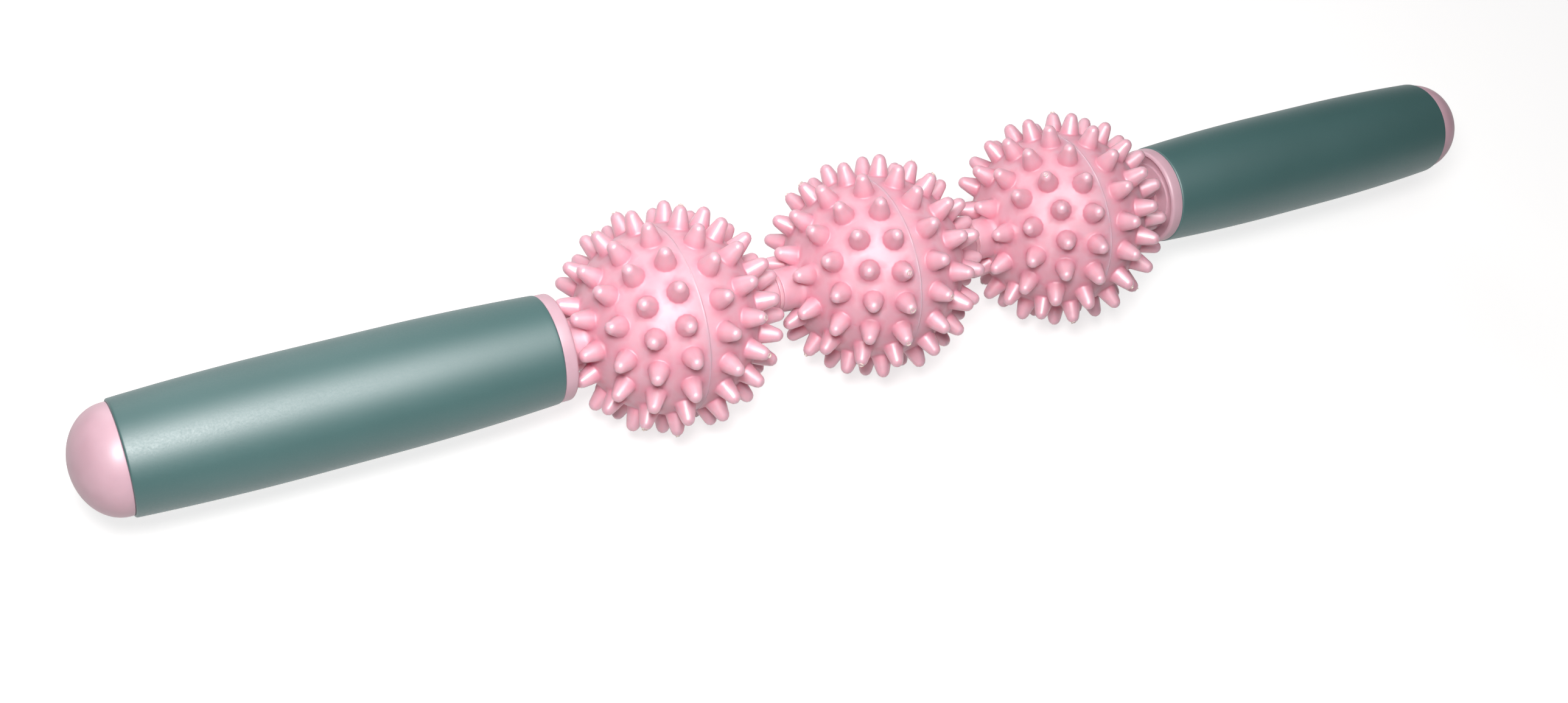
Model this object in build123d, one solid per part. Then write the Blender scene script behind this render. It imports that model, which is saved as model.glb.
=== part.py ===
from build123d import *
import os
from math import cos, radians, sin, sqrt

# A hand-held massage roller stick: two gripped handles joined by a steel axle,
# with three hollow spiked balls that turn on it one by one.
# Millimetres. X runs along the stick, Z is up, and the origin is the middle of the axle,
# which is also the centre of the middle ball. The stick lies on the spikes of its balls.

# Rollers
ball_diameter = 59.2
ball_body_diameter = 48.0
ball_pitch = 60.0
ball_count = 3
shell_wall = 2.4
neck_radius = 5.5
neck_fillet = 1.5

# Spikes, in rings round the axle on each half of a ball
spike_root_radius = 2.85
spike_tip_radius = 1.65
spike_root_depth = 1.2
ring_latitudes_deg = (11.4, 30.5, 49.75, 70.0)
ring_counts = (18, 16, 12, 6)
# Turn of each ball's left and right half about the axle
half_turns_deg = ((93.6, 203.9), (192.8, 334.0), (178.2, 188.1))

# Axle, with a shoulder at each handle and a threaded end
axle_radius = 3.0
axle_end_radius = 2.5
axle_chamfer = 0.5

# Roller hub
hub_wall = 1.0
hub_web_thickness = 3.0
running_clearance = 0.05

# Thrust washers between the rollers and at the handles
thrust_washer_radius = 5.4
thrust_washer_thickness = 0.8
thrust_washer_clearance = 0.06
end_play = 0.15

# Handle core, with the pink flange that shows beside the rollers
flange_radius = 13.4
flange_width = 3.4
flange_rim_width = 1.2
flange_edge_radius = 0.9
dish_depth = 0.8
dish_groove_depth = 0.5
seat_disc_radius = 9.6
core_radius = 10.8
core_wall = 2.4
core_web_thickness = 6.0
axle_hole_clearance = 0.1

# Grip sleeve
grip_length = 100.8
grip_end_radius = 13.6
grip_belly_radius = 14.8
grip_belt_length = 20.0
grip_edge_radius = 0.4

# Fixings inside the outer end of each handle
socket_radius = 9.2
end_plug_thickness = 6.0
fit_clearance = 0.05
washer_radius = 5.0
washer_thickness = 1.0
nut_across_flats = 8.0
nut_height = 5.0
thread_stick_out = 2.0
axle_tip_gap = 2.0

# End cap
cap_edge_radius = 13.0
cap_land = 0.8
cap_height = 11.0
cap_wall = 2.0
cap_plug_length = 4.0
cap_plug_wall = 1.6

# Places worked out from the sizes
ball_radius = ball_diameter / 2
body_radius = ball_body_diameter / 2
cavity_radius = body_radius - shell_wall
hub_bore_radius = axle_radius + running_clearance
hub_radius = hub_bore_radius + hub_wall
neck_end = (ball_pitch - thrust_washer_thickness) / 2 - end_play
last_ball = ball_pitch * (ball_count - 1) / 2
seat_x = last_ball + neck_end + end_play + thrust_washer_thickness
rim_x = seat_x - dish_depth
grip_start = rim_x + flange_width
grip_end = grip_start + grip_length
nut_outer_radius = nut_across_flats / sqrt(3)
cap_plug_start = grip_end - cap_plug_length
axle_tip = cap_plug_start - axle_tip_gap
nut_x = axle_tip - thread_stick_out - nut_height
washer_x = nut_x - washer_thickness
plug_x = washer_x - end_plug_thickness
core_bore_radius = core_radius - core_wall


def turned(edges):
    """The solid that a closed outline of edges, drawn as (x, radius), makes round the axle."""
    return revolve(make_face(Curve() + edges), Axis.X)


def turned_outline(*points):
    """The same for an outline of straight lines."""
    return turned([Polyline(*points, close=True)])


def tube(start, end, inner, outer):
    """A plain ring or tube between two places on the axle."""
    return turned_outline((start, inner), (end, inner), (end, outer), (start, outer))


def at_angle(distance, angle):
    """A point of an outline at a distance from the ball's centre, the angle taken from the axle."""
    return (distance * cos(radians(angle)), distance * sin(radians(angle)))


def axle():
    """Steel rod with turned-down ends."""
    half = [
        (0, 0),
        (0, axle_radius),
        (seat_x, axle_radius),
        (seat_x, axle_end_radius),
        (axle_tip - axle_chamfer, axle_end_radius),
        (axle_tip, axle_end_radius - axle_chamfer),
        (axle_tip, 0),
    ]
    right = turned_outline(*half)
    return right + mirror(right, Plane.YZ)


def spike():
    """One spike along +X, from inside the shell's wall to its rounded tip."""
    root_x = body_radius - spike_root_depth
    dome_x = ball_radius - spike_tip_radius
    dome_middle = (dome_x + spike_tip_radius * cos(radians(45)), spike_tip_radius * sin(radians(45)))
    return turned([
        Polyline((ball_radius, 0), (root_x, 0), (root_x, spike_root_radius), (dome_x, spike_tip_radius)),
        ThreePointArc((dome_x, spike_tip_radius), dome_middle, (ball_radius, 0)),
    ])


def half_shell():
    """The right half of a ball: a hollow hemisphere with its neck and four rings of spikes."""
    fillet_r = neck_radius + neck_fillet
    fillet_x = sqrt((body_radius + neck_fillet) ** 2 - fillet_r ** 2)
    touch = body_radius / (body_radius + neck_fillet)
    touch_x = fillet_x * touch
    touch_r = fillet_r * touch
    sag = neck_fillet / sqrt((fillet_x - touch_x) ** 2 + (fillet_r - touch_r + neck_fillet) ** 2)
    fillet_middle = (
        fillet_x - (fillet_x - touch_x) * sag,
        fillet_r - (fillet_r - touch_r + neck_fillet) * sag,
    )
    touch_angle = 90 - Vector(touch_x, touch_r).get_angle(Vector(0, 1))
    cavity_x = sqrt(cavity_radius ** 2 - hub_radius ** 2)
    shell = turned([
        ThreePointArc((0, body_radius), at_angle(body_radius, (touch_angle + 90) / 2), (touch_x, touch_r)),
        ThreePointArc((touch_x, touch_r), fillet_middle, (fillet_x, neck_radius)),
        Polyline((fillet_x, neck_radius), (neck_end, neck_radius), (neck_end, hub_radius), (cavity_x, hub_radius)),
        ThreePointArc((cavity_x, hub_radius), at_angle(cavity_radius, 45), (0, cavity_radius)),
        Line((0, cavity_radius), (0, body_radius)),
    ])
    one = spike()
    spikes = []
    for latitude, count in zip(ring_latitudes_deg, ring_counts):
        leaning = Rot(0, 0, latitude - 90) * one
        spikes += [Rot(-360 * i / count, 0, 0) * leaning for i in range(count)]
    return shell.fuse(*spikes)


def hub():
    """Rigid spool inside a ball: a tube on the axle and a web that backs the shell's seam."""
    half_web = hub_web_thickness / 2
    web_radius = sqrt(cavity_radius ** 2 - half_web ** 2)
    return turned_outline(
        (-neck_end, hub_bore_radius),
        (neck_end, hub_bore_radius),
        (neck_end, hub_radius),
        (half_web, hub_radius),
        (half_web, web_radius),
        (-half_web, web_radius),
        (-half_web, hub_radius),
        (-neck_end, hub_radius),
    )


def thrust_washer(start):
    """Thin ring on the axle that keeps two turning faces apart."""
    bore = axle_radius + thrust_washer_clearance
    return tube(start, start + thrust_washer_thickness, bore, thrust_washer_radius)


def core():
    """Right handle's tube with its flange, web and outer socket, in one moulding."""
    hole = axle_end_radius + axle_hole_clearance
    groove_x = seat_x + dish_groove_depth
    rim_inner = flange_radius - flange_rim_width
    body = turned_outline(
        (seat_x, hole),
        (seat_x, seat_disc_radius),
        (groove_x, seat_disc_radius),
        (groove_x, rim_inner),
        (rim_x, rim_inner),
        (rim_x, flange_radius),
        (grip_start, flange_radius),
        (grip_start, core_radius),
        (grip_end, core_radius),
        (grip_end, socket_radius),
        (plug_x, socket_radius),
        (plug_x, core_bore_radius),
        (seat_x + core_web_thickness, core_bore_radius),
        (seat_x + core_web_thickness, hole),
    )
    rim = body.edges().filter_by(GeomType.CIRCLE).filter_by_position(Axis.X, rim_x, rim_x)
    return fillet(rim.sort_by(SortBy.RADIUS)[-1], flange_edge_radius)


def grip():
    """Right handle's soft sleeve: a slim barrel with a straight belt round its middle."""
    middle = (grip_start + grip_end) / 2
    belt_start = middle - grip_belt_length / 2
    belt_end = middle + grip_belt_length / 2
    sleeve = turned([
        TangentArc((belt_start, grip_belly_radius), (grip_start, grip_end_radius), tangent=(-1, 0)),
        Line((belt_start, grip_belly_radius), (belt_end, grip_belly_radius)),
        TangentArc((belt_end, grip_belly_radius), (grip_end, grip_end_radius), tangent=(1, 0)),
        Polyline(
            (grip_end, grip_end_radius),
            (grip_end, core_radius),
            (grip_start, core_radius),
            (grip_start, grip_end_radius),
        ),
    ])
    ends = sleeve.edges().filter_by(GeomType.CIRCLE)
    rims = [edge for edge in ends if abs(edge.radius - grip_end_radius) < fit_clearance]
    return fillet(rims, grip_edge_radius)


def end_plug():
    """Stiff disc in the core's socket, which the nut pulls against its step."""
    return tube(plug_x, washer_x, axle_end_radius + axle_hole_clearance, socket_radius - fit_clearance)


def washer():
    """Flat steel washer under the nut."""
    return tube(washer_x, nut_x, axle_end_radius + axle_hole_clearance, washer_radius)


def nut():
    """Hexagonal lock nut on the axle's threaded end."""
    face = Plane.YZ.offset(nut_x) * RegularPolygon(nut_outer_radius, 6)
    blank = extrude(face, nut_height)
    return blank - tube(nut_x, nut_x + nut_height, 0, axle_end_radius)


def cap():
    """Right handle's domed end cap, hollow, with a plug ring that snaps into the core."""
    dome_x = grip_end + cap_land
    dome_length = cap_height - cap_land
    plug_radius = socket_radius - fit_clearance
    plug_inner = plug_radius - cap_plug_wall
    hollow_length = cap_height - cap_wall
    outer = EllipticalCenterArc((dome_x, 0), dome_length, cap_edge_radius)
    inner = EllipticalCenterArc((grip_end, 0), hollow_length, plug_inner)
    return turned([
        outer,
        Polyline(
            (dome_x, cap_edge_radius),
            (grip_end, cap_edge_radius),
            (grip_end, plug_radius),
            (cap_plug_start, plug_radius),
            (cap_plug_start, plug_inner),
            (grip_end, plug_inner),
        ),
        inner,
        Line((grip_end + hollow_length, 0), (grip_end + cap_height, 0)),
    ])


def save(solid, name):
    """Write one node's solid under its name."""
    export_step(solid, os.path.join("parts", name + ".step"))


def save_pair(right, name):
    """Write a handle's piece on the right, and its mirror image on the left."""
    save(right, "right_" + name)
    save(mirror(right, Plane.YZ), "left_" + name)


os.makedirs("parts", exist_ok=True)

save(axle(), "axle_rod")

right_half = half_shell()
left_half = mirror(right_half, Plane.YZ)
spool = hub()
for number in range(ball_count):
    centre = Pos(number * ball_pitch - last_ball, 0, 0)
    left_turn, right_turn = half_turns_deg[number]
    name = f"roller_{number + 1}"
    save(centre * Rot(-left_turn, 0, 0) * left_half, name + "_left_shell")
    save(centre * Rot(-right_turn, 0, 0) * right_half, name + "_right_shell")
    save(centre * spool, name + "_hub")

for number in range(ball_count - 1):
    middle = number * ball_pitch - last_ball + ball_pitch / 2
    save(thrust_washer(middle - thrust_washer_thickness / 2), f"roller_washer_{number + 1}_{number + 2}")
save_pair(thrust_washer(seat_x - thrust_washer_thickness), "seat_washer")

save_pair(core(), "handle_core")
save_pair(grip(), "grip_sleeve")
save_pair(end_plug(), "end_plug")
save_pair(washer(), "washer")
save_pair(nut(), "lock_nut")
save_pair(cap(), "end_cap")
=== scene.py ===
# Massage roller stick, dressed for rendering: soft vinyl spiky balls, soft-touch grips,
# pale moulded flanges and end caps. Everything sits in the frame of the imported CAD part.
import math
import bpy
import numpy as np
from mathutils import Matrix, Vector
from mathutils.geometry import delaunay_2d_cdt


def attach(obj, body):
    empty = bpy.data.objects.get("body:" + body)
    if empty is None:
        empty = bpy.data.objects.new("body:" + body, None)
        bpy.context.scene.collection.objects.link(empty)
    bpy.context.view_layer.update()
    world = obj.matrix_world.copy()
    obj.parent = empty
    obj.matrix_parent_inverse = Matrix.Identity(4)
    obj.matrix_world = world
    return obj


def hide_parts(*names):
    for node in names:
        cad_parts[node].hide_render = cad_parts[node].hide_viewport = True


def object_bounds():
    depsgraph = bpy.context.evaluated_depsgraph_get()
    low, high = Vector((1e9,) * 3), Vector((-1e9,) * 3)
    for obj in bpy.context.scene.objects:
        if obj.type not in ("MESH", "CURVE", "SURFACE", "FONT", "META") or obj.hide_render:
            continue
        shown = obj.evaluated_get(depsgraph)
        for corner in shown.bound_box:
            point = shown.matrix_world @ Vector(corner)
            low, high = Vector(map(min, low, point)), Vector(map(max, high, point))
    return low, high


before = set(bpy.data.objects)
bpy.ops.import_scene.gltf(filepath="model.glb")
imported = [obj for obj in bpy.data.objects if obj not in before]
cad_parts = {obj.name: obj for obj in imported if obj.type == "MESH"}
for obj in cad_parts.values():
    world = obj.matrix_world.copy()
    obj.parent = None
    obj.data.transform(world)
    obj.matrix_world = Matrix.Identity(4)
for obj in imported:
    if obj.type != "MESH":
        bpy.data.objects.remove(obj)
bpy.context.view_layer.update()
mm = 0.001  # the dictionaries below are in millimetres, the scene is in metres
print("frame loaded:", len(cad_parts), "CAD nodes")


# Materials

noiseSpan = {"From Min": 0.3, "From Max": 0.7}  # most of a noise texture's values lie in here
mixColours = {"data_type": "RGBA"}
lightSinksIn = {"subsurface_method": "RANDOM_WALK"}


def linear(hexColour):
    # sRGB hex to the linear values that Blender's sockets take
    raw = [int(hexColour[i:i + 2], 16) / 255 for i in (1, 3, 5)]
    return tuple(c / 12.92 if c <= 0.04045 else ((c + 0.055) / 1.055) ** 2.4 for c in raw) + (1.0,)


def lumps(sizeMm):
    # the scale at which a noise has lumps of about this size
    return 1 / (sizeMm * mm)


def addNode(tree, kind, settings=None, inputs=None):
    # one node with its settings; an input is a value, or a socket to link from
    node = tree.nodes.new(kind)
    for name, value in (settings or {}).items():
        setattr(node, name, value)
    for name, value in (inputs or {}).items():
        if isinstance(value, bpy.types.NodeSocket):
            tree.links.new(value, node.inputs[name])
        else:
            node.inputs[name].default_value = value
    return node


def startMaterial(name):
    # a new material with an empty tree
    material = bpy.data.materials.new(name)
    material.use_nodes = True
    material.node_tree.nodes.clear()
    return material, material.node_tree


softVinyl = {
    # the root colour is painted shade in the creases round the spikes' roots; the spike colour is painted
    # light, which makes the spikes a little lighter than the body
    "colour": "#ECB4C3", "shade": "#E5A1B3", "litSpikeColour": "#EFB7C6", "rootShadeColour": "#E27C96",
    "bodyRoughness": 0.68, "spikeRoughness": 0.34, "ior": 1.46,
    "glaze": 1.0, "glazeRoughness": 0.56, "glazeIor": 1.6,
    "subsurface": 0.4, "radiusMm": (2.4, 0.5, 0.6),
    "mottleMm": 9.0, "grainMm": 0.9, "grainDepthMm": 0.024, "bodyGrain": 0.25,
    "rippleMm": 4.0, "rippleDepthMm": 0.05,
}


def makeSoftVinyl():
    # plasticised PVC, rotation moulded: the body has a broad milky sheen, the spikes come out of
    # polished pits with an oily glaze that breaks into small dots, and they are painted a little lighter as
    # painted light, the creases at their roots carry painted shade, and light that sinks in a little comes
    # out redder
    material, tree = startMaterial("softVinyl")
    place = addNode(tree, "ShaderNodeTexCoord").outputs["Object"]
    onSpike = addNode(tree, "ShaderNodeAttribute", {"attribute_name": "spikeShare"}).outputs["Fac"]
    paintedRootShade = addNode(tree, "ShaderNodeAttribute", {"attribute_name": "rootShadeShare"}).outputs["Fac"]
    mottle = addNode(tree, "ShaderNodeTexNoise", None, {
        "Vector": place, "Scale": lumps(softVinyl["mottleMm"]), "Detail": 3.0})
    spread = addNode(tree, "ShaderNodeMapRange", None, {"Value": mottle.outputs["Fac"], **noiseSpan})
    body = addNode(tree, "ShaderNodeMix", mixColours, {
        "Factor": spread.outputs["Result"],
        "A": linear(softVinyl["shade"]), "B": linear(softVinyl["colour"])})
    # painted light: the spikes a little lighter than the body, as if they caught more light
    both = addNode(tree, "ShaderNodeMix", mixColours, {
        "Factor": onSpike, "A": body.outputs["Result"], "B": linear(softVinyl["litSpikeColour"])})
    # painted shade: a deeper pink in the creases round each spike's root
    withRootShade = addNode(tree, "ShaderNodeMix", mixColours, {
        "Factor": paintedRootShade, "A": both.outputs["Result"], "B": linear(softVinyl["rootShadeColour"])})
    gloss = addNode(tree, "ShaderNodeMapRange", None, {
        "Value": onSpike, "To Min": softVinyl["bodyRoughness"], "To Max": softVinyl["spikeRoughness"]})
    ripple = addNode(tree, "ShaderNodeTexNoise", None, {
        "Vector": place, "Scale": lumps(softVinyl["rippleMm"]), "Detail": 1.0})
    rippled = addNode(tree, "ShaderNodeBump", None, {
        "Strength": 1.0, "Distance": softVinyl["rippleDepthMm"] * mm, "Height": ripple.outputs["Fac"]})
    fine = addNode(tree, "ShaderNodeTexNoise", None, {
        "Vector": place, "Scale": lumps(softVinyl["grainMm"]), "Detail": 2.0})
    uneven = addNode(tree, "ShaderNodeMapRange", None, {
        "Value": onSpike, "To Min": softVinyl["bodyGrain"], "To Max": 1.0})
    pebbled = addNode(tree, "ShaderNodeBump", None, {
        "Strength": uneven.outputs["Result"], "Distance": softVinyl["grainDepthMm"] * mm,
        "Height": fine.outputs["Fac"], "Normal": rippled.outputs["Normal"]})
    shader = addNode(tree, "ShaderNodeBsdfPrincipled", lightSinksIn, {
        "Base Color": withRootShade.outputs["Result"],
        "Roughness": gloss.outputs["Result"], "IOR": softVinyl["ior"],
        "Coat Weight": softVinyl["glaze"], "Coat Roughness": softVinyl["glazeRoughness"],
        "Coat IOR": softVinyl["glazeIor"],
        "Subsurface Weight": softVinyl["subsurface"], "Subsurface Scale": mm,
        "Subsurface Radius": softVinyl["radiusMm"], "Normal": pebbled.outputs["Normal"]})
    addNode(tree, "ShaderNodeOutputMaterial", None, {"Surface": shader.outputs["BSDF"]})
    return material


thinVinylFlash = {
    "pale": "#F2D9CE", "paler": "#F8EBDD", "tornMm": 0.4, "roughness": 0.35, "ior": 1.53,
    "subsurface": 0.4, "radiusMm": (0.6, 0.5, 0.4),
}


def makeThinVinylFlash():
    # vinyl torn off thin at the mould's vents: paler than the ball, ragged and letting light in
    material, tree = startMaterial("thinVinylFlash")
    place = addNode(tree, "ShaderNodeTexCoord").outputs["Object"]
    torn = addNode(tree, "ShaderNodeTexNoise", None, {
        "Vector": place, "Scale": lumps(thinVinylFlash["tornMm"]), "Detail": 2.0})
    colour = addNode(tree, "ShaderNodeMix", mixColours, {
        "Factor": torn.outputs["Fac"],
        "A": linear(thinVinylFlash["pale"]), "B": linear(thinVinylFlash["paler"])})
    shader = addNode(tree, "ShaderNodeBsdfPrincipled", lightSinksIn, {
        "Base Color": colour.outputs["Result"],
        "Roughness": thinVinylFlash["roughness"], "IOR": thinVinylFlash["ior"],
        "Subsurface Weight": thinVinylFlash["subsurface"], "Subsurface Scale": mm,
        "Subsurface Radius": thinVinylFlash["radiusMm"]})
    addNode(tree, "ShaderNodeOutputMaterial", None, {"Surface": shader.outputs["BSDF"]})
    return material


softTouchRubber = {
    "colour": "#2C5F5E", "worn": "#326463", "mottleMm": 25.0,
    "roughness": (0.48, 0.6), "ior": 1.65,
    "bloom": 0.55, "bloomRoughness": 0.6, "bloomIor": 1.65, "sheen": 0.02, "sheenRoughness": 0.5,
    "grainMm": 0.45, "grainDepthMm": 0.014,
}


def makeSoftTouchRubber():
    # thermoplastic rubber with a bead-blasted mould finish and a faint waxy bloom: a broad satin
    # band of light, and fine speckle where the grain catches it
    material, tree = startMaterial("softTouchRubber")
    place = addNode(tree, "ShaderNodeTexCoord").outputs["Object"]
    mottle = addNode(tree, "ShaderNodeTexNoise", None, {
        "Vector": place, "Scale": lumps(softTouchRubber["mottleMm"]), "Detail": 2.0})
    spread = addNode(tree, "ShaderNodeMapRange", None, {"Value": mottle.outputs["Fac"], **noiseSpan})
    colour = addNode(tree, "ShaderNodeMix", mixColours, {
        "Factor": spread.outputs["Result"],
        "A": linear(softTouchRubber["colour"]), "B": linear(softTouchRubber["worn"])})
    fine = addNode(tree, "ShaderNodeTexNoise", None, {
        "Vector": place, "Scale": lumps(softTouchRubber["grainMm"]), "Detail": 3.0, "Roughness": 0.7})
    smooth, rough = softTouchRubber["roughness"]
    gloss = addNode(tree, "ShaderNodeMapRange", None, {
        "Value": fine.outputs["Fac"], **noiseSpan, "To Min": smooth, "To Max": rough})
    blasted = addNode(tree, "ShaderNodeBump", None, {
        "Strength": 1.0, "Distance": softTouchRubber["grainDepthMm"] * mm,
        "Height": fine.outputs["Fac"]})
    shader = addNode(tree, "ShaderNodeBsdfPrincipled", None, {
        "Base Color": colour.outputs["Result"],
        "Roughness": gloss.outputs["Result"], "IOR": softTouchRubber["ior"],
        "Coat Weight": softTouchRubber["bloom"], "Coat Roughness": softTouchRubber["bloomRoughness"],
        "Coat IOR": softTouchRubber["bloomIor"], "Sheen Weight": softTouchRubber["sheen"],
        "Sheen Roughness": softTouchRubber["sheenRoughness"], "Normal": blasted.outputs["Normal"]})
    addNode(tree, "ShaderNodeOutputMaterial", None, {"Surface": shader.outputs["BSDF"]})
    return material


palePolypropylene = {
    "colour": "#E3BAC7", "shade": "#DBB1BE", "flowMm": 7.0, "roughness": 0.42, "ior": 1.49,
    "grainMm": 0.5, "grainDepthMm": 0.008, "subsurface": 0.12, "radiusMm": (1.8, 1.0, 1.0),
}


def makePalePolypropylene():
    # injection-moulded polypropylene: slightly milky, with a satin mould finish
    material, tree = startMaterial("palePolypropylene")
    place = addNode(tree, "ShaderNodeTexCoord").outputs["Object"]
    flow = addNode(tree, "ShaderNodeTexNoise", None, {
        "Vector": place, "Scale": lumps(palePolypropylene["flowMm"]), "Detail": 2.0})
    spread = addNode(tree, "ShaderNodeMapRange", None, {"Value": flow.outputs["Fac"], **noiseSpan})
    colour = addNode(tree, "ShaderNodeMix", mixColours, {
        "Factor": spread.outputs["Result"],
        "A": linear(palePolypropylene["shade"]), "B": linear(palePolypropylene["colour"])})
    fine = addNode(tree, "ShaderNodeTexNoise", None, {
        "Vector": place, "Scale": lumps(palePolypropylene["grainMm"]), "Detail": 2.0})
    satin = addNode(tree, "ShaderNodeBump", None, {
        "Strength": 1.0, "Distance": palePolypropylene["grainDepthMm"] * mm,
        "Height": fine.outputs["Fac"]})
    shader = addNode(tree, "ShaderNodeBsdfPrincipled", lightSinksIn, {
        "Base Color": colour.outputs["Result"],
        "Roughness": palePolypropylene["roughness"], "IOR": palePolypropylene["ior"],
        "Subsurface Weight": palePolypropylene["subsurface"], "Subsurface Scale": mm,
        "Subsurface Radius": palePolypropylene["radiusMm"], "Normal": satin.outputs["Normal"]})
    addNode(tree, "ShaderNodeOutputMaterial", None, {"Surface": shader.outputs["BSDF"]})
    return material


tintedNylon = {
    "deep": "#EDB4C0", "pale": "#F2BDC8", "flowMm": 5.0, "roughness": 0.3, "ior": 1.53,
    "subsurface": 0.3, "radiusMm": (1.5, 1.3, 1.1),
}


def makeTintedNylon():
    # nylon dyed to match the balls: waxy and bright at its edge, a little light passes into it
    material, tree = startMaterial("tintedNylon")
    place = addNode(tree, "ShaderNodeTexCoord").outputs["Object"]
    flow = addNode(tree, "ShaderNodeTexNoise", None, {
        "Vector": place, "Scale": lumps(tintedNylon["flowMm"]), "Detail": 2.0})
    colour = addNode(tree, "ShaderNodeMix", mixColours, {
        "Factor": flow.outputs["Fac"], "A": linear(tintedNylon["deep"]), "B": linear(tintedNylon["pale"])})
    shader = addNode(tree, "ShaderNodeBsdfPrincipled", lightSinksIn, {
        "Base Color": colour.outputs["Result"],
        "Roughness": tintedNylon["roughness"], "IOR": tintedNylon["ior"],
        "Subsurface Weight": tintedNylon["subsurface"], "Subsurface Scale": mm,
        "Subsurface Radius": tintedNylon["radiusMm"]})
    addNode(tree, "ShaderNodeOutputMaterial", None, {"Surface": shader.outputs["BSDF"]})
    return material


turnedSteel = {
    "dark": "#C4C6C8", "bright": "#D2D3D4", "ringMm": 0.3, "ringDepthMm": 0.004, "ringBump": 0.3,
    "waver": 1.5, "roughness": (0.22, 0.32),
}


def makeTurnedSteel():
    # bright drawn steel, turned at the ends: fine rings round the axle, each bright or dark one
    # about ringMm wide
    material, tree = startMaterial("turnedSteel")
    place = addNode(tree, "ShaderNodeTexCoord").outputs["Object"]
    rings = addNode(tree, "ShaderNodeTexWave", {"wave_type": "BANDS", "bands_direction": "X"}, {
        "Vector": place, "Scale": lumps(turnedSteel["ringMm"]) / (2 * math.pi),
        "Distortion": turnedSteel["waver"], "Detail": 2.0})
    colour = addNode(tree, "ShaderNodeMix", mixColours, {
        "Factor": rings.outputs["Fac"],
        "A": linear(turnedSteel["dark"]), "B": linear(turnedSteel["bright"])})
    smooth, rough = turnedSteel["roughness"]
    gloss = addNode(tree, "ShaderNodeMapRange", None, {
        "Value": rings.outputs["Fac"], **noiseSpan, "To Min": smooth, "To Max": rough})
    cut = addNode(tree, "ShaderNodeBump", None, {
        "Strength": turnedSteel["ringBump"], "Distance": turnedSteel["ringDepthMm"] * mm,
        "Height": rings.outputs["Fac"]})
    shader = addNode(tree, "ShaderNodeBsdfPrincipled", None, {
        "Base Color": colour.outputs["Result"], "Metallic": 1.0,
        "Roughness": gloss.outputs["Result"], "Normal": cut.outputs["Normal"]})
    addNode(tree, "ShaderNodeOutputMaterial", None, {"Surface": shader.outputs["BSDF"]})
    return material


vinyl = makeSoftVinyl()
thinFlash = makeThinVinylFlash()
touch = makeSoftTouchRubber()
polypropylene = makePalePolypropylene()
nylon = makeTintedNylon()
steel = makeTurnedSteel()
print("materials made")


# Meshes

onAxis = 1e-9  # a point nearer the axle's line than this is on it


def meshPiece(name, points, faces, body, replaced, material, sharpAngle=40):
    # points in millimetres about the frame's origin; faces point outwards already
    mesh = bpy.data.meshes.new(name)
    mesh.from_pydata((np.asarray(points) * mm).tolist(), [], faces)
    mesh.polygons.foreach_set("use_smooth", np.ones(len(mesh.polygons), dtype=bool))
    mesh.set_sharp_from_angle(angle=math.radians(sharpAngle))
    mesh.materials.append(material)
    piece = bpy.data.objects.new(name, mesh)
    bpy.context.scene.collection.objects.link(piece)
    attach(piece, body)
    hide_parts(*replaced)
    return piece


def roundAngles(count, offset=0.0):
    # count equal steps round a full turn, the first of them at offset steps
    return (np.arange(count) + offset) * 2 * math.pi / count


def compact(points, faces):
    # keeps only the points that a face uses
    used = np.unique(np.concatenate([np.asarray(f) for f in faces]))
    place = np.full(len(points), -1)
    place[used] = np.arange(len(used))
    return points[used], [place[f].tolist() for f in faces]


def turnedMesh(profile, around):
    # a closed outline of (x, radius) points, in order with its inside on the left, carried round
    # the X axis as (x, -radius·cos angle, radius·sin angle); a point at radius 0 becomes one pole
    profile = np.asarray(profile, dtype=float)
    angle = roundAngles(around)
    grid = np.stack([
        np.repeat(profile[:, :1], around, axis=1),
        -profile[:, 1:] * np.cos(angle),
        profile[:, 1:] * np.sin(angle)], axis=2)
    pole = profile[:, 1] < onAxis
    index = np.arange(len(profile) * around).reshape(len(profile), around)
    index[pole] = index[pole][:, :1]
    further = np.roll(index, -1, axis=0)
    quads = np.stack([
        index, np.roll(index, -1, axis=1), np.roll(further, -1, axis=1), further], axis=2)
    betweenPoles = pole & np.roll(pole, -1)
    quads = quads[~betweenPoles].reshape(-1, 4)
    faces = [list(dict.fromkeys(q)) for q in quads.tolist()]
    return compact(grid.reshape(-1, 3), faces)


def roundedOutline(corners, steps=5):
    # corners of (x, radius, rounding): where the rounding isn't 0 the corner becomes an arc that
    # touches both of its sides, centre + rounding times the direction that swings between them
    corners = np.asarray(corners, dtype=float)
    outline = []
    for i, (x, radius, rounding) in enumerate(corners):
        here = np.array([x, radius])
        if rounding == 0:
            outline.append(here[None])
            continue
        before = corners[i - 1, :2] - here
        after = corners[(i + 1) % len(corners), :2] - here
        before /= np.linalg.norm(before)
        after /= np.linalg.norm(after)
        half = math.acos(np.clip(before @ after, -1, 1)) / 2
        middle = before + after
        centre = here + middle / np.linalg.norm(middle) * rounding / math.sin(half)
        first = here + before * rounding / math.tan(half) - centre
        last = here + after * rounding / math.tan(half) - centre
        swing = math.pi - 2 * half
        t = np.linspace(0, 1, steps + 1)[:, None]
        arc = np.sin((1 - t) * swing) * first + np.sin(t * swing) * last
        outline.append(centre + arc / math.sin(swing))
    return np.concatenate(outline)


def turnedPiece(name, outline, around, body, replaced, material, side=1):
    # side -1 gives the mirror image across the YZ plane, with the faces turned back outwards
    points, faces = turnedMesh(outline, around)
    if side < 0:
        points = points * [-1, 1, 1]
        faces = [f[::-1] for f in faces]
    return meshPiece(name, points, faces, body, replaced, material)


# Spiky balls

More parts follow.
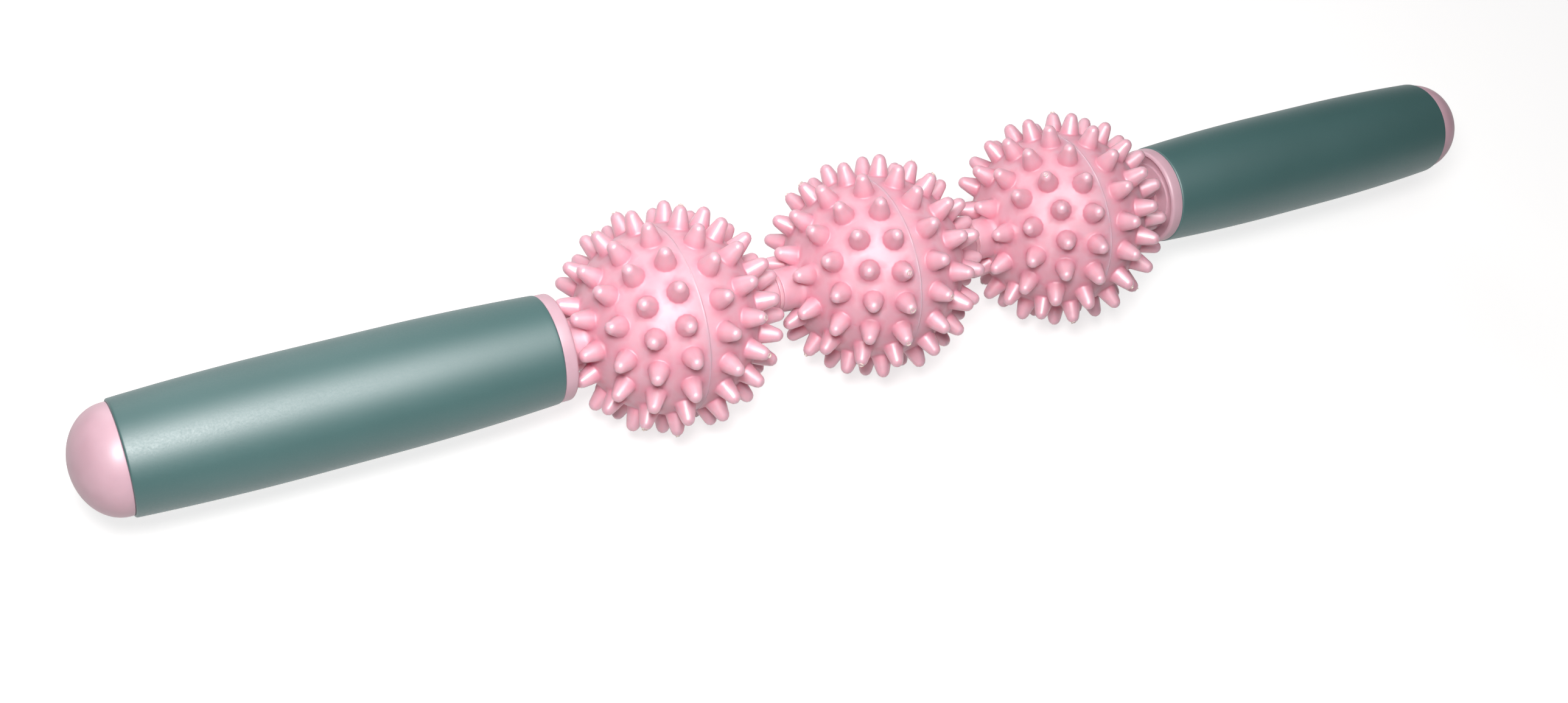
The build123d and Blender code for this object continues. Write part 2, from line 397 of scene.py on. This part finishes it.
ball = {
    "bodyRadius": 24.0, "pitch": 60.0, "cavityRadius": 21.6, "boreRadius": 4.05,
    "neckRadius": 5.5, "neckEnd": 29.45, "neckRounding": 0.35, "neckBlend": 1.0,
    "ringLatitudes": (11.4, 30.5, 49.75, 70.0), "ringCounts": (18, 16, 12, 6),
    "halfTurns": ((93.6, 203.9), (192.8, 334.0), (178.2, 188.1)),
    "rootHeight": 22.5, "rootRadius": 2.9, "tipHeight": 27.88, "tipRadius": 1.72, "bulge": 0.1,
    "spikeBlend": 0.4, "leanDeg": 0.35, "seed": 7,
    "spikeFrom": 0.05, "spikeFade": 0.4, "neckMargin": 0.1,
    # painted shade round the spikes' roots: how strong it is, and how far up the spike and out over the
    # body it reaches
    "rootShadeStrength": 0.6, "rootRise": 2.6, "rootSpread": 1.2,
}

# the raised line where the halves meet: x of the body's edge, (x, share of the height) across the
# line, and its height along the seam as a mean with waves of (share, count, phase) in it
seam = {
    "bodyX": 0.45, "ridge": ((0, 1.0), (0.08, 0.9), (0.14, 0.35), (0.22, 0.0)), "height": 0.2,
    "mean": 0.42, "waves": ((0.35, 5, 1), (0.3, 13, 2), (0.25, 29, 0)), "least": 0.06, "most": 1.6,
}

# how finely a half is meshed: points round a spike and round the axle, the gaps that keep the
# sheet's points apart, and the heights and radii at which a spike has its rings
fineness = {
    "spikeAround": 12, "axleAround": 96, "footprint": 3.0, "neckGap": 0.12, "neckEdge": 0.001,
    "fillerMm": 1.5, "rowShare": 0.87, "rowInset": (0.03, 0.02), "fewest": 8, "fillerGap": 0.62,
    "creaseHeight": 24.1, "creaseRadius": 2.7, "creaseInset": 0.1,
    "sideHeights": (24.5, 26.3), "sideRadii": (2.52, 2.15), "tipAngles": (16, 42, 68, 90),
    "neckRows": 6, "cavityRows": 9, "endSteps": 4, "walkSteps": 8, "slopeStep": 1e-4, "merge": 1e-7,
}


def sphereDirection(theta, azimuth):
    # (cos theta, -sin theta·cos azimuth, sin theta·sin azimuth): theta from +X, as in the part
    return np.stack([
        np.cos(theta), -np.sin(theta) * np.cos(azimuth), np.sin(theta) * np.sin(azimuth)], axis=-1)


def spikeDirections():
    # one direction for each spike of the right half, leaning off its place by a fraction of a degree
    theta, azimuth = [], []
    for latitude, count in zip(ball["ringLatitudes"], ball["ringCounts"]):
        theta.append(np.full(count, math.radians(90 - latitude)))
        azimuth.append(roundAngles(count))
    theta = np.concatenate(theta)
    azimuth = np.concatenate(azimuth)
    rng = np.random.default_rng(ball["seed"])
    lean = rng.normal(0, math.radians(ball["leanDeg"]), (2, len(theta)))
    return sphereDirection(theta + lean[0], azimuth + lean[1] / np.sin(theta))


spikes = spikeDirections()


def smoothUnion(first, second, blend):
    # the lower of two distances, less blend/4·(1 - gap/blend)² where they are within blend
    near = np.clip(1 - np.abs(first - second) / blend, 0, 1)
    return np.minimum(first, second) - near * near * blend / 4


def ballDistance(p):
    # distance to the body sphere, blended with the neck's cylinder and with the nearest spike;
    # a spike is a round cone: side line a·across + b·up - rootRadius, less a bulge that is a
    # parabola in up, and a ball at its tip
    sphere = np.linalg.norm(p, axis=1) - ball["bodyRadius"]
    neck = np.linalg.norm(p[:, 1:], axis=1) - ball["neckRadius"]
    along = p @ spikes.T
    nearest = along.argmax(axis=1)
    up = along[np.arange(len(p)), nearest]
    across = np.sqrt(np.maximum((p * p).sum(axis=1) - up * up, 0))
    up = up - ball["rootHeight"]
    height = ball["tipHeight"] - ball["rootHeight"]
    b = (ball["rootRadius"] - ball["tipRadius"]) / height
    a = math.sqrt(1 - b * b)
    share = np.clip(up / height, 0, 1)
    side = a * across + b * up - ball["rootRadius"] - 4 * ball["bulge"] * share * (1 - share)
    tip = np.hypot(across, up - height) - ball["tipRadius"]
    spike = np.where(a * up - b * across > a * height, tip, side)
    return smoothUnion(smoothUnion(sphere, neck, ball["neckBlend"]), spike, ball["spikeBlend"])


def ballSlope(p):
    # the distance's gradient by central differences, which is the surface's normal
    step = fineness["slopeStep"]
    slope = np.stack([
        ballDistance(p + np.eye(3)[k] * step) - ballDistance(p - np.eye(3)[k] * step) for k in range(3)
    ], axis=1)
    return slope / np.linalg.norm(slope, axis=1, keepdims=True)


def ontoBall(p):
    # walks points down the gradient to where the distance is zero
    for _ in range(fineness["walkSteps"]):
        p = p - ballDistance(p)[:, None] * ballSlope(p)
    return p


def spikeGrids(footprint):
    # (spike, ring, around) points: a ring's point is height·spike + radius·(cos·toPole +
    # sin·beside), from the footprint over the crease and the side to the round tip
    foot = footprint / ball["bodyRadius"]
    tip = np.radians(fineness["tipAngles"])
    crease = np.minimum(footprint - fineness["creaseInset"], fineness["creaseRadius"])
    heights = [fineness["creaseHeight"], *fineness["sideHeights"]]
    heights += list(ball["tipHeight"] + ball["tipRadius"] * np.sin(tip))
    radii = list(fineness["sideRadii"]) + list(ball["tipRadius"] * np.cos(tip))
    up = np.stack([ball["bodyRadius"] * np.cos(foot)] + [np.full(len(foot), h) for h in heights])
    across = np.stack([ball["bodyRadius"] * np.sin(foot), crease] + [np.full(len(foot), r) for r in radii])
    toPole = np.array([1.0, 0, 0]) - spikes[:, :1] * spikes
    toPole /= np.linalg.norm(toPole, axis=1, keepdims=True)
    beside = np.cross(spikes, toPole)
    angle = roundAngles(fineness["spikeAround"])
    ring = toPole[:, None] * np.cos(angle)[:, None] + beside[:, None] * np.sin(angle)[:, None]
    return up.T[:, :, None, None] * spikes[:, None, None] + across.T[:, :, None, None] * ring[:, None]


def fillerDirections(neckTheta, seamTheta, footprint):
    # directions spread evenly over the body from neck to seam, in staggered rows, without those
    # that would stand too near a spike's foot
    radius = ball["bodyRadius"]
    spacing = fineness["fillerMm"]
    first, last = neckTheta + fineness["rowInset"][0], seamTheta - fineness["rowInset"][1]
    rows = []
    for k, theta in enumerate(np.arange(first, last, spacing / radius * fineness["rowShare"])):
        count = max(fineness["fewest"], round(2 * math.pi * math.sin(theta) * radius / spacing))
        rows.append(sphereDirection(np.full(count, theta), roundAngles(count, 0.5 * (k % 2))))
    filler = np.concatenate(rows)
    clear = radius * np.arccos(np.clip(filler @ spikes.T, -1, 1)) - footprint
    return filler[clear.min(axis=1) > fineness["fillerGap"]]


def sheetTriangles(sheet, loops):
    # triangles between points on the sphere, found in the flat map (bodyRadius·theta·cos azimuth,
    # bodyRadius·theta·sin azimuth); the first loop is the rim, and the others are left open
    direction = sheet / np.linalg.norm(sheet, axis=1, keepdims=True)
    theta = np.arccos(np.clip(direction[:, 0], -1, 1))
    azimuth = np.arctan2(direction[:, 2], -direction[:, 1])
    flat = ball["bodyRadius"] * theta[:, None] * np.stack([np.cos(azimuth), np.sin(azimuth)], axis=1)
    edges = np.concatenate([np.stack([loop, np.roll(loop, -1)], axis=1) for loop in loops])
    made = delaunay_2d_cdt([Vector(v) for v in flat], edges.tolist(), [], 0, fineness["merge"], False)
    if len(made[0]) != len(flat):
        raise ValueError("the sheet's points met: widen the gaps")
    triangles = np.array(made[2])
    group = np.full(len(sheet), -1)
    for k, loop in enumerate(loops[1:]):
        group[loop] = k
    same = group[triangles]
    opening = (same[:, 0] >= 0) & (same[:, 0] == same[:, 1]) & (same[:, 1] == same[:, 2])
    triangles = triangles[~opening]
    a, b, c = (sheet[triangles[:, k]] for k in range(3))
    inwards = (np.cross(b - a, c - a) * (a + b + c)).sum(axis=1) < 0
    triangles[inwards] = triangles[inwards][:, ::-1]
    return triangles


def axleRows(neckX, azimuth):
    # rings round the axle in order: neck, rounded end, bore, cavity, seam face and raised line,
    # each (x, -radius·cos azimuth, radius·sin azimuth), with the line's height on its radius
    end = roundedOutline([
        (neckX, ball["neckRadius"], 0), (ball["neckEnd"], ball["neckRadius"], ball["neckRounding"]),
        (ball["neckEnd"], ball["boreRadius"], 0)], fineness["endSteps"])
    runX = np.linspace(neckX, end[1, 0], fineness["neckRows"])[1:-1]
    run = np.stack([runX, np.full(len(runX), ball["neckRadius"])], axis=1)
    boreTheta = math.asin(ball["boreRadius"] / ball["cavityRadius"])
    theta = np.linspace(boreTheta, math.pi / 2, fineness["cavityRows"])
    cavity = ball["cavityRadius"] * np.stack([np.cos(theta), np.sin(theta)], axis=1)
    ridge = np.array(seam["ridge"])
    line = np.stack([ridge[:, 0], np.full(len(ridge), ball["bodyRadius"])], axis=1)
    outline = np.concatenate([run, end[1:], cavity, line])
    rise = np.zeros(len(outline))
    rise[-len(ridge):] = ridge[:, 1]
    waves = np.full(len(azimuth), seam["mean"])
    for share, count, phase in seam["waves"]:
        waves += share * np.cos(count * azimuth + phase)
    height = seam["height"] * np.clip(waves, seam["least"], seam["most"])
    radial = outline[:, 1, None] + rise[:, None] * height
    x = np.repeat(outline[:, :1], len(azimuth), axis=1)
    return np.stack([x, -radial * np.cos(azimuth), radial * np.sin(azimuth)], axis=2)


def halfShell():
    # the right half of a ball, centred on the origin: a sheet of triangles for the body, a grid of
    # rings for each spike, and rings round the axle for the neck, bore, cavity and seam
    radius = ball["bodyRadius"]
    n, big = fineness["spikeAround"], fineness["axleAround"]
    azimuth = roundAngles(big)
    seamTheta = math.acos(seam["bodyX"] / radius)
    neckTheta = math.asin(ball["neckRadius"] / radius) + fineness["neckEdge"]
    fromNeck = radius * (np.arccos(spikes[:, 0]) - neckTheta)
    # the innermost ring of spikes stands close to the neck, so its footprints are smaller
    footprint = np.minimum(fineness["footprint"], fromNeck - fineness["neckGap"])
    grids = spikeGrids(footprint)

    # the sheet's points: seam ring, neck ring, the spikes' first rings and filler
    seamRing = sphereDirection(np.full(big, seamTheta), azimuth)
    neckRing = sphereDirection(np.full(big, neckTheta), azimuth)
    filler = fillerDirections(neckTheta, seamTheta, footprint)
    sheet = np.concatenate([
        seamRing * radius, neckRing * radius, grids[:, 0].reshape(-1, 3), filler * radius])
    loops = [np.arange(big), np.arange(big) + big]
    loops += [2 * big + k * n + np.arange(n) for k in range(len(spikes))]
    triangles = sheetTriangles(sheet, loops)

    # the spikes' further rings: the first one is the sheet's own, the last one a single point
    rings = grids.shape[1]
    upper = grids[:, 1:-1].reshape(len(spikes), -1, 3)
    extra = np.concatenate([upper, grids[:, -1, :1]], axis=1)
    perSpike = extra.shape[1]
    start = len(sheet) + np.arange(len(spikes)) * perSpike
    index = np.empty((len(spikes), rings - 1, n), dtype=int)
    index[:, 0] = 2 * big + np.arange(len(spikes) * n).reshape(-1, n)
    index[:, 1:] = start[:, None, None] + np.arange((rings - 2) * n).reshape(rings - 2, n)
    turn = np.roll(index, -1, axis=2)
    spikeQuads = np.stack([index[:, :-1], turn[:, :-1], turn[:, 1:], index[:, 1:]], axis=-1).reshape(-1, 4)
    tipIndex = np.repeat((start + perSpike - 1)[:, None], n, axis=1)
    tipFans = np.stack([index[:, -1], turn[:, -1], tipIndex], axis=-1).reshape(-1, 3)
    points = ontoBall(np.concatenate([sheet, extra.reshape(-1, 3)]))
    normals = ballSlope(points)
    a, b, c = (points[tipFans[:, k]] for k in range(3))
    if (np.cross(b - a, c - a) * a).sum() < 0:
        spikeQuads = spikeQuads[:, ::-1]
        tipFans = tipFans[:, ::-1]

    # the rings round the axle join the sheet's neck ring and seam ring
    rowPoints = axleRows(points[big:2 * big, 0].mean(), azimuth)
    rowIndex = len(points) + np.arange(len(rowPoints) * big).reshape(-1, big)
    rows = np.concatenate([np.arange(big, 2 * big)[None], rowIndex, np.arange(big)[None]])
    nextColumn = np.roll(rows, -1, axis=1)
    ringQuads = np.stack([rows[:-1], rows[1:], nextColumn[1:], nextColumn[:-1]], axis=-1).reshape(-1, 4)
    points = np.concatenate([points, rowPoints.reshape(-1, 3)])
    faces = triangles.tolist() + tipFans.tolist() + spikeQuads.tolist() + ringQuads.tolist()
    return points, faces, normals


shellPoints, shellFaces, shellNormals = halfShell()
reach = np.linalg.norm(shellPoints, axis=1)
# the spikes' share: 0 on the body and the neck, 1 from about half a millimetre up a spike
spikeShare = np.clip((reach - ball["bodyRadius"] - ball["spikeFrom"]) / ball["spikeFade"], 0, 1)
spikeShare[np.hypot(shellPoints[:, 1], shellPoints[:, 2]) < ball["neckRadius"] + ball["neckMargin"]] = 0
# painted shade at the spikes' roots: full where spike and body meet, gone rootRise up it and rootSpread out
# from it
fromSpike = ball["bodyRadius"] * np.arccos(np.clip((shellPoints @ spikes.T).max(axis=1) / reach, -1, 1))
rootShadeShare = ball["rootShadeStrength"] * np.clip(1 - (reach - ball["bodyRadius"]) / ball["rootRise"], 0, 1) * np.clip(
    (ball["rootRadius"] + ball["rootSpread"] - fromSpike) / ball["rootSpread"], 0, 1)
print("half shell:", len(shellPoints), "points,", len(shellFaces), "faces")


def turnedHalf(vectors, side, turn):
    # mirrored for the left half, then turned about the axle by turn degrees
    t = math.radians(turn)
    spin = np.array([[1, 0, 0], [0, math.cos(t), math.sin(t)], [0, -math.sin(t), math.cos(t)]])
    return (vectors * [side, 1, 1]) @ spin.T


def placeShell(number, side, turn):
    # one half in its place on the axle, with the exact normals on all but the axle's rings
    name = f"roller_{number}_{'left' if side < 0 else 'right'}"
    points = turnedHalf(shellPoints, side, turn) + [(number - 2) * ball["pitch"], 0, 0]
    faces = shellFaces if side > 0 else [f[::-1] for f in shellFaces]
    piece = meshPiece(name + "_spiky_half", points, faces, f"roller_{number}",
                      [name + "_shell"], vinyl)
    mesh = piece.data
    mesh.attributes.new("spikeShare", "FLOAT", "POINT").data.foreach_set("value", spikeShare)
    mesh.attributes.new("rootShadeShare", "FLOAT", "POINT").data.foreach_set("value", rootShadeShare)
    corner = np.empty(len(mesh.loops), dtype=int)
    mesh.loops.foreach_get("vertex_index", corner)
    shading = np.empty(len(mesh.loops) * 3)
    mesh.corner_normals.foreach_get("vector", shading)
    shading = shading.reshape(-1, 3)
    smooth = corner < len(shellNormals)
    shading[smooth] = turnedHalf(shellNormals, side, turn)[corner[smooth]]
    mesh.normals_split_custom_set(shading.tolist())


# the ragged crowns that the mould's vents leave on some tips, by the spike's number on each half
ventTag = {
    "spikes": (((3, 12, 20, 29), (26, 27, 5, 14)), ((9, 10, 11, 25, 32, 33, 38), (24, 25, 3, 13, 31)),
               ((1, 8, 22, 30), (9, 25, 0, 16, 33))),
    "around": 16, "radius": 0.68, "radiusShares": (0.7, 1.15), "wall": 0.16, "flare": 1.04,
    "height": 0.34, "least": 0.15, "sunk": 0.1, "slope": 0.03,
    "mean": 0.35, "wave": 0.35, "scatter": 0.22, "seedStep": 10, "sharpAngle": 60,
}


def placeTags(number, side, turn, picked):
    # a short tube round each picked tip, height·(least + ragged) tall, where ragged is one wave
    # round the tube with random scatter on it, kept from 0 to 1
    count = ventTag["around"]
    rng = np.random.default_rng(ball["seed"] + ventTag["seedStep"] * number + side)
    direction = spikes[list(picked)]
    beside = np.cross(direction, [1.0, 0, 0])
    beside /= np.linalg.norm(beside, axis=1, keepdims=True)
    other = np.cross(direction, beside)
    angle = roundAngles(count)
    ring = beside[:, None] * np.cos(angle)[:, None] + other[:, None] * np.sin(angle)[:, None]
    phase = rng.uniform(0, 2 * math.pi, (len(direction), 1))
    scatter = rng.normal(0, ventTag["scatter"], (len(direction), count))
    ragged = np.clip(ventTag["mean"] + ventTag["wave"] * np.cos(angle + phase) + scatter, 0, 1)
    shares = rng.uniform(*ventTag["radiusShares"], (len(direction), 1))
    outer = ventTag["radius"] * shares * np.ones(count)
    inner = outer - ventTag["wall"]
    foot = ball["tipHeight"] + np.sqrt(ball["tipRadius"] ** 2 - outer ** 2) - ventTag["sunk"]
    top = foot + ventTag["sunk"] + ventTag["height"] * (ventTag["least"] + ragged)
    radii = np.stack([outer, outer * ventTag["flare"], inner * ventTag["flare"], inner], axis=1)
    heights = np.stack([foot, top, top - ventTag["slope"], foot], axis=1)
    points = radii[..., None] * ring[:, None] + heights[..., None] * direction[:, None, None]
    index = np.arange(len(direction) * 4 * count).reshape(-1, 4, count)
    below = np.roll(index, -1, axis=1)
    quads = np.stack([
        index, np.roll(index, -1, axis=2), np.roll(below, -1, axis=2), below], axis=-1).reshape(-1, 4)
    points = points.reshape(-1, 3)
    a, b, c = (points[quads[:, k]] for k in range(3))
    if (np.cross(a, b) * c).sum() * side < 0:
        quads = quads[:, ::-1]
    points = turnedHalf(points, side, turn) + [(number - 2) * ball["pitch"], 0, 0]
    name = f"roller_{number}_{'left' if side < 0 else 'right'}_vent_tags"
    meshPiece(name, points, quads.tolist(), f"roller_{number}", [], thinFlash,
              ventTag["sharpAngle"])


for number, (turns, picked) in enumerate(zip(ball["halfTurns"], ventTag["spikes"]), 1):
    placeShell(number, -1, turns[0])
    placeShell(number, 1, turns[1])
    placeTags(number, -1, turns[0], picked[0])
    placeTags(number, 1, turns[1], picked[1])
print("balls placed")


# Grip sleeves

grip = {"start": 93.0, "end": 193.8, "bore": 10.8, "endRadius": 13.6, "bellyRadius": 14.8,
        "belt": 20.0, "edge": 0.5, "edgeRoom": 1.2, "along": 49, "around": 128}


def gripOutline():
    # a slim barrel: a straight belt, and either side of it a circle's arc that falls from the
    # belly to the end radius, radius = belly - (R - sqrt(R² - s²))
    middle = (grip["start"] + grip["end"]) / 2
    halfRun = (grip["end"] - grip["start"] - grip["belt"]) / 2
    drop = grip["bellyRadius"] - grip["endRadius"]
    big = (halfRun ** 2 + drop ** 2) / (2 * drop)
    x = np.linspace(grip["end"] - grip["edgeRoom"], grip["start"] + grip["edgeRoom"], grip["along"])
    s = np.maximum(np.abs(x - middle) - grip["belt"] / 2, 0)
    radius = grip["bellyRadius"] - (big - np.sqrt(big ** 2 - s ** 2))
    barrel = np.stack([x, radius, np.zeros(len(x))], axis=1)
    corners = [(grip["start"], grip["endRadius"], grip["edge"]), (grip["start"], grip["bore"], 0),
               (grip["end"], grip["bore"], 0), (grip["end"], grip["endRadius"], grip["edge"])]
    return roundedOutline(np.concatenate([barrel, corners]))


# Handle cores with their flanges

core = {"flangeRadius": 13.4, "rimX": 89.6, "rimInner": 12.2, "grooveX": 90.9, "seatX": 90.4,
        "seatRadius": 9.6, "start": 93.0, "end": 193.8, "radius": 10.75, "socket": 9.2,
        "plugX": 180.0, "bore": 8.4, "webX": 96.4, "hole": 2.6, "around": 128,
        "lip": 0.9, "innerLip": 0.35, "seatEdge": 0.2, "fillet": 0.15}

coreOutline = roundedOutline([
    (core["rimX"], core["flangeRadius"], core["lip"]),
    (core["rimX"], core["rimInner"], core["innerLip"]),
    (core["grooveX"], core["rimInner"], core["fillet"]),
    (core["grooveX"], core["seatRadius"], core["fillet"]),
    (core["seatX"], core["seatRadius"], core["seatEdge"]),
    (core["seatX"], core["hole"], 0),
    (core["webX"], core["hole"], 0),
    (core["webX"], core["bore"], 0),
    (core["plugX"], core["bore"], 0),
    (core["plugX"], core["socket"], 0),
    (core["end"], core["socket"], 0),
    (core["end"], core["radius"], 0),
    (core["start"], core["radius"], 0),
    (core["start"], core["flangeRadius"], core["fillet"])])


# End caps

cap = {"start": 193.8, "land": 0.8, "height": 11.0, "radius": 13.0, "edge": 0.25, "plug": 9.15,
       "plugInner": 7.55, "plugStart": 189.8, "hollow": 9.0, "outerSteps": 33, "innerSteps": 13,
       "around": 128}


def capOutline():
    # outside a quarter of an ellipse, (dome + (height - land)·cos t, radius·sin t), and inside a
    # smaller one, (start + hollow·cos s, plugInner·sin s)
    dome = cap["start"] + cap["land"]
    t = np.linspace(0, math.pi / 2, cap["outerSteps"])
    outer = np.stack([dome + (cap["height"] - cap["land"]) * np.cos(t), cap["radius"] * np.sin(t)], axis=1)
    s = np.linspace(math.pi / 2, 0, cap["innerSteps"])
    inner = np.stack([cap["start"] + cap["hollow"] * np.cos(s), cap["plugInner"] * np.sin(s)], axis=1)
    edge = roundedOutline([
        (dome, cap["radius"], 0), (cap["start"], cap["radius"], cap["edge"]),
        (cap["start"], cap["plug"], 0), (cap["plugStart"], cap["plug"], 0),
        (cap["plugStart"], cap["plugInner"], 0)])
    outline = np.concatenate([outer, edge[1:], inner])
    outline[[0, -1], 1] = 0
    return outline


# Thrust washers

thrustWasher = {"places": {"roller_washer_1_2": -30.0, "roller_washer_2_3": 30.0}, "seatPlace": 90.0,
                "bore": 3.06, "radius": 5.4, "thickness": 0.96, "rounding": 0.12, "steps": 3,
                "around": 96}


def washerOutline(middle):
    # a rectangle with its two outer corners rounded; it is drawn a little thicker than the part's
    # own, so that the line it makes between two necks shows
    half = thrustWasher["thickness"] / 2
    radius, rounding = thrustWasher["radius"], thrustWasher["rounding"]
    return roundedOutline([
        (middle + half, radius, rounding), (middle - half, radius, rounding),
        (middle - half, thrustWasher["bore"], 0), (middle + half, thrustWasher["bore"], 0)],
        thrustWasher["steps"])


for side, word in ((-1, "left"), (1, "right")):
    turnedPiece(word + "_soft_grip", gripOutline(), grip["around"], "stick",
                [word + "_grip_sleeve"], touch, side)
    turnedPiece(word + "_flanged_core", coreOutline, core["around"], "stick",
                [word + "_handle_core"], polypropylene, side)
    turnedPiece(word + "_domed_cap", capOutline(), cap["around"], "stick",
                [word + "_end_cap"], polypropylene, side)
    turnedPiece(word + "_round_edged_washer", washerOutline(thrustWasher["seatPlace"]),
                thrustWasher["around"], "stick", [word + "_seat_washer"], nylon, side)
for name, middle in thrustWasher["places"].items():
    turnedPiece("round_edged_" + name, washerOutline(middle), thrustWasher["around"], "stick",
                [name], nylon)

# CAD nodes that keep their own shape
carried = {"axle_rod": steel, "left_washer": steel, "right_washer": steel, "left_lock_nut": steel,
           "right_lock_nut": steel, "left_end_plug": polypropylene, "right_end_plug": polypropylene,
           "roller_1_hub": polypropylene, "roller_2_hub": polypropylene, "roller_3_hub": polypropylene}
for name, material in carried.items():
    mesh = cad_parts[name].data
    mesh.materials.clear()
    mesh.materials.append(material)
print("handles and fixings dressed")


# Camera

shot = {"place": (-233.25, -218.07, 377.71), "right": (0.87568, -0.42158, 0.23548),
        "up": (0.23778, 0.80089, 0.54958), "lens": 42.94, "sensor": 36.0, "near": 10.0, "far": 20000.0}
cameraData = bpy.data.cameras.new("photoCamera")
cameraData.lens = shot["lens"]
cameraData.sensor_width = shot["sensor"]
cameraData.clip_start = shot["near"] * mm
cameraData.clip_end = shot["far"] * mm
camera = bpy.data.objects.new("photoCamera", cameraData)
bpy.context.scene.collection.objects.link(camera)
right, upward = Vector(shot["right"]), Vector(shot["up"])
camera.matrix_world = Matrix.Translation(Vector(shot["place"]) * mm) @ Matrix(
    (right, upward, right.cross(upward))).transposed().to_4x4()
bpy.context.scene.camera = camera


# Floor

floorStyle = {"colour": "#B8B5B4", "halfMetres": 1.6, "glow": 0.73}


def makeFloor():
    # plain pale paper: the camera and reflections see it near white, and it keeps the object's shadow
    material, tree = startMaterial("palePaper")
    rays = addNode(tree, "ShaderNodeLightPath")
    seen = addNode(tree, "ShaderNodeMath", {"operation": "MAXIMUM"}, {
        0: rays.outputs["Is Camera Ray"], 1: rays.outputs["Is Glossy Ray"]})
    alsoThrough = addNode(tree, "ShaderNodeMath", {"operation": "MAXIMUM"}, {
        0: seen.outputs[0], 1: rays.outputs["Is Transmission Ray"]})
    share = addNode(tree, "ShaderNodeMath", {"operation": "MULTIPLY"}, {
        0: alsoThrough.outputs[0], 1: floorStyle["glow"]})
    paper = addNode(tree, "ShaderNodeBsdfDiffuse", None, {"Color": linear(floorStyle["colour"])})
    glow = addNode(tree, "ShaderNodeEmission", None, {"Color": (1, 1, 1, 1), "Strength": share.outputs[0]})
    added = addNode(tree, "ShaderNodeAddShader", None, {0: paper.outputs[0], 1: glow.outputs[0]})
    addNode(tree, "ShaderNodeOutputMaterial", None, {"Surface": added.outputs[0]})
    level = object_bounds()[0][2]
    half = floorStyle["halfMetres"]
    mesh = bpy.data.meshes.new("floor")
    square = [(-half, -half, level), (half, -half, level), (half, half, level), (-half, half, level)]
    mesh.from_pydata(square, [], [(0, 1, 2, 3)])
    mesh.materials.append(material)
    floor = bpy.data.objects.new("floor", mesh)
    bpy.context.scene.collection.objects.link(floor)


makeFloor()


# Light

lamps = {
    "lensSideLamp": {"place": (-229.0, -152.0, 415.0), "aim": (-60.0, -5.0, 0.0), "size": 105.0,
                     "watts": 1.7, "glintWatts": 1.8},
    "softOverheadLamp": {"place": (-75.0, -60.0, 490.0), "aim": (-100.0, 0.0, 0.0), "size": 300.0,
                         "watts": 0.9, "glintWatts": 2.2},
    "backLamp": {"place": (-100.0, 680.0, 280.0), "aim": (0.0, 0.0, 0.0), "size": 500.0,
                 "watts": 1.6, "glintWatts": 0.3},
}
room = {"sky": 0.08, "backdrop": 1.0}  # what lights the object, and the white that the camera sees


def areaLamp(name, lamp, watts):
    # a round lamp at its place, facing its aim
    data = bpy.data.lights.new(name, "AREA")
    data.shape = "DISK"
    data.size = lamp["size"] * mm
    data.energy = watts
    placed = bpy.data.objects.new(name, data)
    placed.location = Vector(lamp["place"]) * mm
    facing = Vector(lamp["aim"]) - Vector(lamp["place"])
    placed.rotation_euler = facing.to_track_quat("-Z", "Y").to_euler()
    bpy.context.scene.collection.objects.link(placed)
    return placed


for name, lamp in lamps.items():
    areaLamp(name, lamp, lamp["watts"])
    twin = areaLamp(name + "Glint", lamp, lamp["glintWatts"])
    twin.visible_diffuse = False  # the twin is there for the gloss only, and leaves colours as written

world = bpy.data.worlds.new("paleRoom")
bpy.context.scene.world = world
world.use_nodes = True
world.node_tree.nodes.clear()
rays = addNode(world.node_tree, "ShaderNodeLightPath")
strength = addNode(world.node_tree, "ShaderNodeMapRange", None, {
    "Value": rays.outputs["Is Camera Ray"], "To Min": room["sky"], "To Max": room["backdrop"]})
backdrop = addNode(world.node_tree, "ShaderNodeBackground", None, {
    "Color": (1, 1, 1, 1), "Strength": strength.outputs["Result"]})
addNode(world.node_tree, "ShaderNodeOutputWorld", None, {"Surface": backdrop.outputs["Background"]})
bpy.context.scene.view_settings.view_transform = "Standard"
print("camera and light set")
